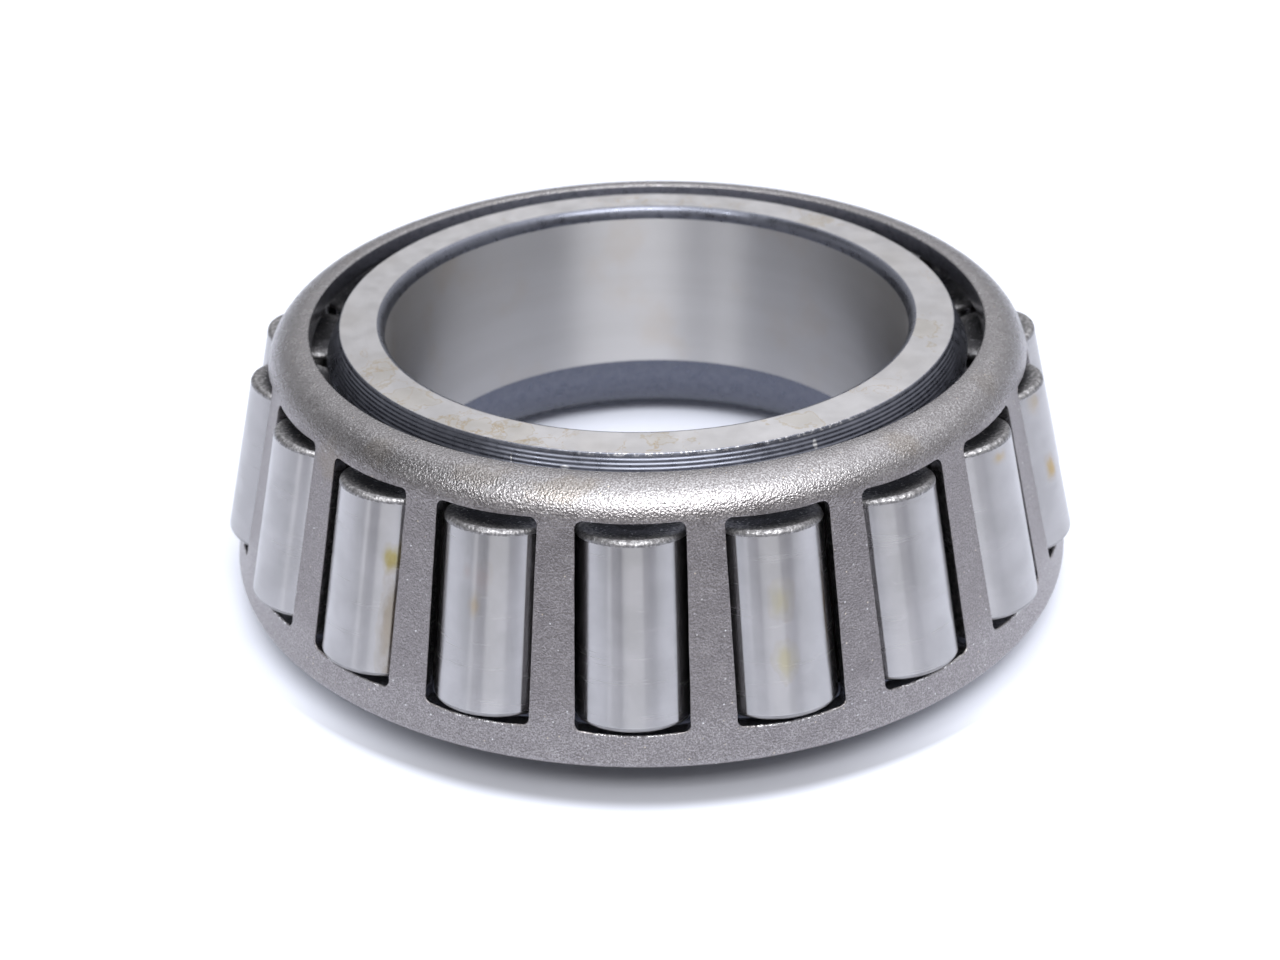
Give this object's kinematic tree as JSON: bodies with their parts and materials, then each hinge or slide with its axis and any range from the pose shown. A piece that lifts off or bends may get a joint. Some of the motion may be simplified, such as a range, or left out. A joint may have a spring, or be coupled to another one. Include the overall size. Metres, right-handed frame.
{
  "type": "tapered roller bearing cone assembly",
  "caption": "Inner ring of a tapered roller bearing with its pressed steel window cage and tapered rollers, which run together on the ring's conical raceway.",
  "frame": {"origin": "centre of the bore in the plane of the inner ring's back face", "axes": "+Z along the bore axis, from the back face (large roller ends) to the front face (small roller ends); one roller is centred on -Y"},
  "size_m": [0.095, 0.095, 0.0301],
  "materials": {
    "ring_steel": "ground on the bore and front face, black oxide on the turned rib and corners",
    "cage_steel": "shot-blasted pressed sheet, grainy, warm grey",
    "roller_steel": "fine ground, satin, with faint circumferential grind lines"
  },
  "bodies": {
    "cone": {"inner_ring": "ring_steel"},
    "cage": {"cage": "cage_steel"},
    "roller_01": {"roller_01": "roller_steel"},
    "roller_02": {"roller_02": "roller_steel"},
    "roller_03": {"roller_03": "roller_steel"},
    "roller_04": {"roller_04": "roller_steel"},
    "roller_05": {"roller_05": "roller_steel"},
    "roller_06": {"roller_06": "roller_steel"},
    "roller_07": {"roller_07": "roller_steel"},
    "roller_08": {"roller_08": "roller_steel"},
    "roller_09": {"roller_09": "roller_steel"},
    "roller_10": {"roller_10": "roller_steel"},
    "roller_11": {"roller_11": "roller_steel"},
    "roller_12": {"roller_12": "roller_steel"},
    "roller_13": {"roller_13": "roller_steel"},
    "roller_14": {"roller_14": "roller_steel"},
    "roller_15": {"roller_15": "roller_steel"},
    "roller_16": {"roller_16": "roller_steel"},
    "roller_17": {"roller_17": "roller_steel"},
    "roller_18": {"roller_18": "roller_steel"},
    "roller_19": {"roller_19": "roller_steel"}
  },
  "joints": [
    {"name": "cage_spin", "type": "hinge", "parent": "cone", "child": "cage", "pos_m": [0, 0, 0.0161], "axis": [0, 0, 1], "continuous": true},
    {"name": "roller_01_spin", "type": "hinge", "parent": "cage", "child": "roller_01", "pos_m": [0, -0.04208, 0.00718], "axis": [0, 0.2255, 0.9743], "continuous": true},
    {"name": "roller_02_spin", "type": "hinge", "parent": "cage", "child": "roller_02", "pos_m": [0.01367, -0.0398, 0.00718], "axis": [-0.0732, 0.2132, 0.9743], "continuous": true},
    {"name": "roller_03_spin", "type": "hinge", "parent": "cage", "child": "roller_03", "pos_m": [0.02585, -0.03321, 0.00718], "axis": [-0.1385, 0.1779, 0.9743], "continuous": true},
    {"name": "roller_04_spin", "type": "hinge", "parent": "cage", "child": "roller_04", "pos_m": [0.03523, -0.02302, 0.00718], "axis": [-0.1887, 0.1233, 0.9743], "continuous": true},
    {"name": "roller_05_spin", "type": "hinge", "parent": "cage", "child": "roller_05", "pos_m": [0.0408, -0.01033, 0.00718], "axis": [-0.2186, 0.0553, 0.9743], "continuous": true},
    {"name": "roller_06_spin", "type": "hinge", "parent": "cage", "child": "roller_06", "pos_m": [0.04194, 0.00348, 0.00718], "axis": [-0.2247, -0.0186, 0.9743], "continuous": true},
    {"name": "roller_07_spin", "type": "hinge", "parent": "cage", "child": "roller_07", "pos_m": [0.03854, 0.01691, 0.00718], "axis": [-0.2065, -0.0906, 0.9743], "continuous": true},
    {"name": "roller_08_spin", "type": "hinge", "parent": "cage", "child": "roller_08", "pos_m": [0.03096, 0.0285, 0.00718], "axis": [-0.1659, -0.1527, 0.9743], "continuous": true},
    {"name": "roller_09_spin", "type": "hinge", "parent": "cage", "child": "roller_09", "pos_m": [0.02003, 0.03701, 0.00718], "axis": [-0.1073, -0.1983, 0.9743], "continuous": true},
    {"name": "roller_10_spin", "type": "hinge", "parent": "cage", "child": "roller_10", "pos_m": [0.00693, 0.04151, 0.00718], "axis": [-0.0371, -0.2224, 0.9743], "continuous": true},
    {"name": "roller_11_spin", "type": "hinge", "parent": "cage", "child": "roller_11", "pos_m": [-0.00693, 0.04151, 0.00718], "axis": [0.0371, -0.2224, 0.9743], "continuous": true},
    {"name": "roller_12_spin", "type": "hinge", "parent": "cage", "child": "roller_12", "pos_m": [-0.02003, 0.03701, 0.00718], "axis": [0.1073, -0.1983, 0.9743], "continuous": true},
    {"name": "roller_13_spin", "type": "hinge", "parent": "cage", "child": "roller_13", "pos_m": [-0.03096, 0.0285, 0.00718], "axis": [0.1659, -0.1527, 0.9743], "continuous": true},
    {"name": "roller_14_spin", "type": "hinge", "parent": "cage", "child": "roller_14", "pos_m": [-0.03854, 0.01691, 0.00718], "axis": [0.2065, -0.0906, 0.9743], "continuous": true},
    {"name": "roller_15_spin", "type": "hinge", "parent": "cage", "child": "roller_15", "pos_m": [-0.04194, 0.00348, 0.00718], "axis": [0.2247, -0.0186, 0.9743], "continuous": true},
    {"name": "roller_16_spin", "type": "hinge", "parent": "cage", "child": "roller_16", "pos_m": [-0.0408, -0.01033, 0.00718], "axis": [0.2186, 0.0553, 0.9743], "continuous": true},
    {"name": "roller_17_spin", "type": "hinge", "parent": "cage", "child": "roller_17", "pos_m": [-0.03523, -0.02302, 0.00718], "axis": [0.1887, 0.1233, 0.9743], "continuous": true},
    {"name": "roller_18_spin", "type": "hinge", "parent": "cage", "child": "roller_18", "pos_m": [-0.02585, -0.03321, 0.00718], "axis": [0.1385, 0.1779, 0.9743], "continuous": true},
    {"name": "roller_19_spin", "type": "hinge", "parent": "cage", "child": "roller_19", "pos_m": [-0.01367, -0.0398, 0.00718], "axis": [0.0732, 0.2132, 0.9743], "continuous": true}
  ],
  "couplings": [
    {"joint": "roller_01_spin", "follows": "cage_spin", "ratio": 6.2},
    {"joint": "roller_02_spin", "follows": "cage_spin", "ratio": 6.2},
    {"joint": "roller_03_spin", "follows": "cage_spin", "ratio": 6.2},
    {"joint": "roller_04_spin", "follows": "cage_spin", "ratio": 6.2},
    {"joint": "roller_05_spin", "follows": "cage_spin", "ratio": 6.2},
    {"joint": "roller_06_spin", "follows": "cage_spin", "ratio": 6.2},
    {"joint": "roller_07_spin", "follows": "cage_spin", "ratio": 6.2},
    {"joint": "roller_08_spin", "follows": "cage_spin", "ratio": 6.2},
    {"joint": "roller_09_spin", "follows": "cage_spin", "ratio": 6.2},
    {"joint": "roller_10_spin", "follows": "cage_spin", "ratio": 6.2},
    {"joint": "roller_11_spin", "follows": "cage_spin", "ratio": 6.2},
    {"joint": "roller_12_spin", "follows": "cage_spin", "ratio": 6.2},
    {"joint": "roller_13_spin", "follows": "cage_spin", "ratio": 6.2},
    {"joint": "roller_14_spin", "follows": "cage_spin", "ratio": 6.2},
    {"joint": "roller_15_spin", "follows": "cage_spin", "ratio": 6.2},
    {"joint": "roller_16_spin", "follows": "cage_spin", "ratio": 6.2},
    {"joint": "roller_17_spin", "follows": "cage_spin", "ratio": 6.2},
    {"joint": "roller_18_spin", "follows": "cage_spin", "ratio": 6.2},
    {"joint": "roller_19_spin", "follows": "cage_spin", "ratio": 6.2}
  ]
}
